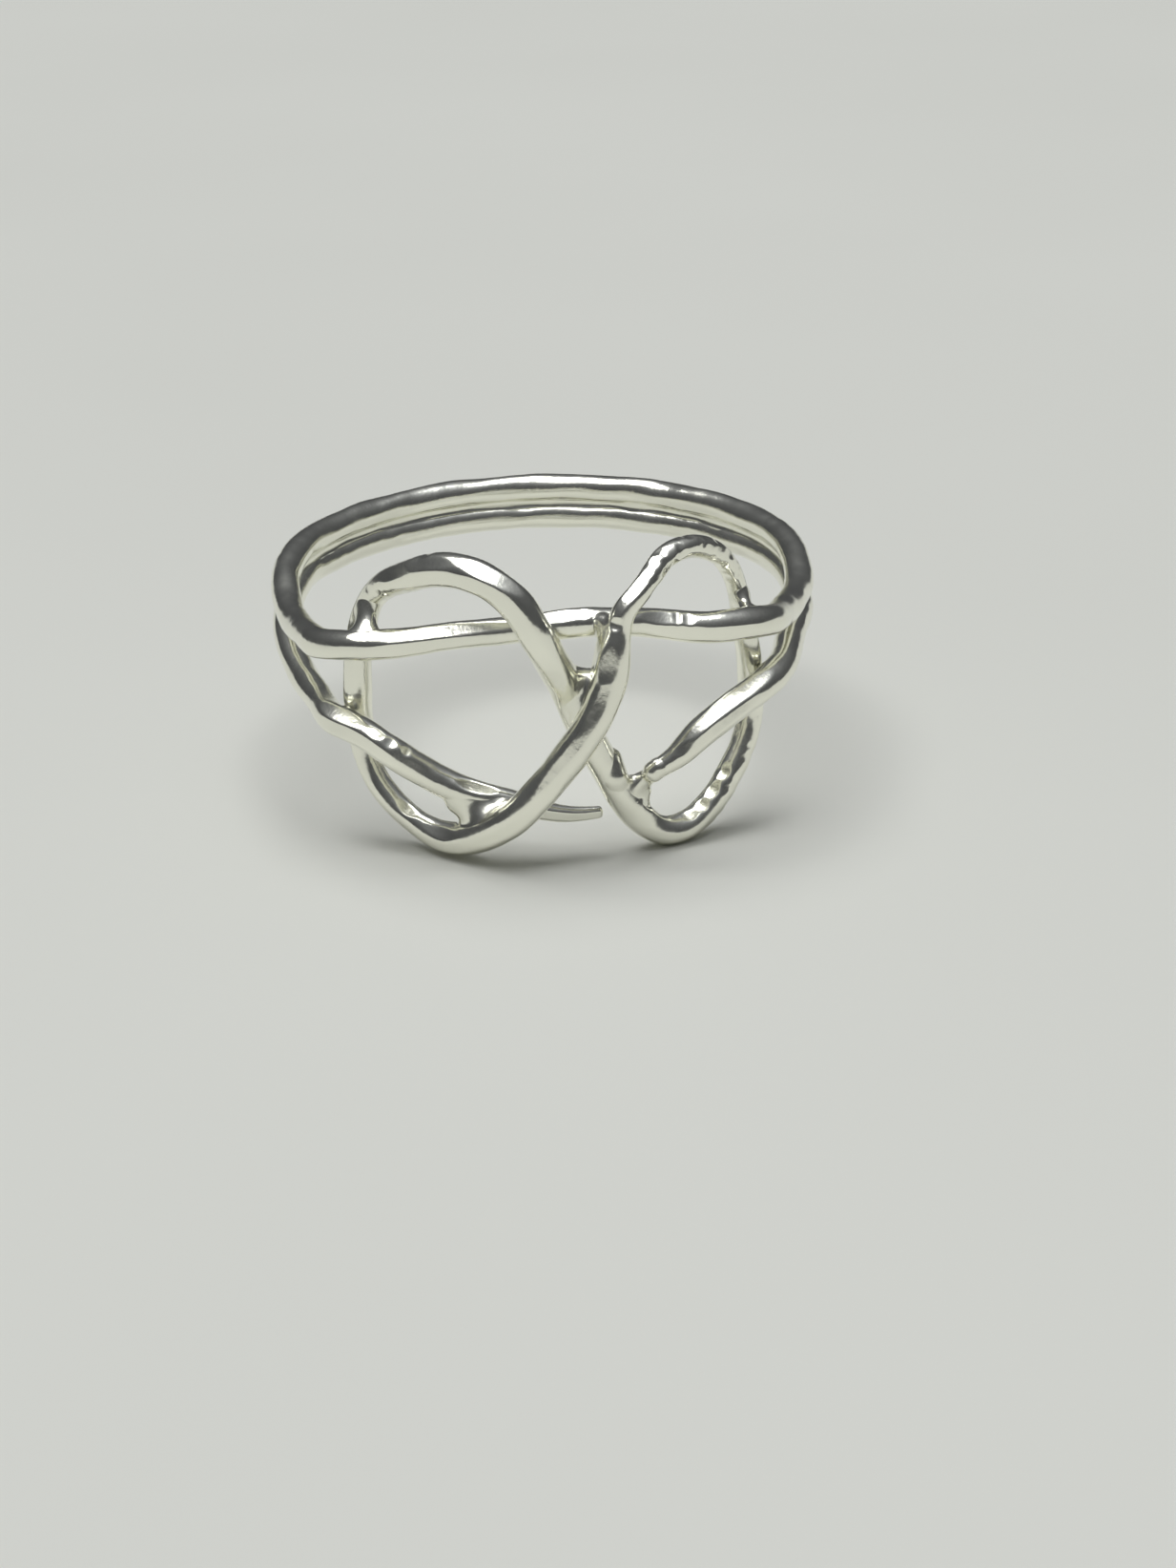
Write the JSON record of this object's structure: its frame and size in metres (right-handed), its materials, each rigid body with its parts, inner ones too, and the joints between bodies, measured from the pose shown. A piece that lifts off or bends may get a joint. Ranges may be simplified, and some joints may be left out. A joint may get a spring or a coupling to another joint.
{
  "type": "interlaced wire finger ring",
  "caption": "Open wire finger ring: stacked rails part at the front, where a figure-of-eight of round wire is woven over and under them and soldered.",
  "frame": {"origin": "centre of the finger hole, halfway between the two rails at the back of the shank", "axes": "+Z along the finger's axis, -Y to the front where the ornament is, +X to the right of someone facing the front"},
  "size_m": [0.0202, 0.0214, 0.0115],
  "materials": {
    "silver": "sterling silver, hand filed and polished, not plated",
    "solder": "hard silver solder, as it flowed, lightly polished"
  },
  "bodies": {
    "root": {"upper_rail": "silver", "lower_rail": "silver", "figure_eight": "silver", "solder_shank_seam": "solder", "solder_left_corner": "solder", "solder_left_side": "solder", "solder_left_foot": "solder", "solder_crossing": "solder", "solder_crossing_top": "solder", "solder_right_shoulder": "solder", "solder_right_side": "solder", "solder_right_end": "solder"}
  },
  "joints": []
}
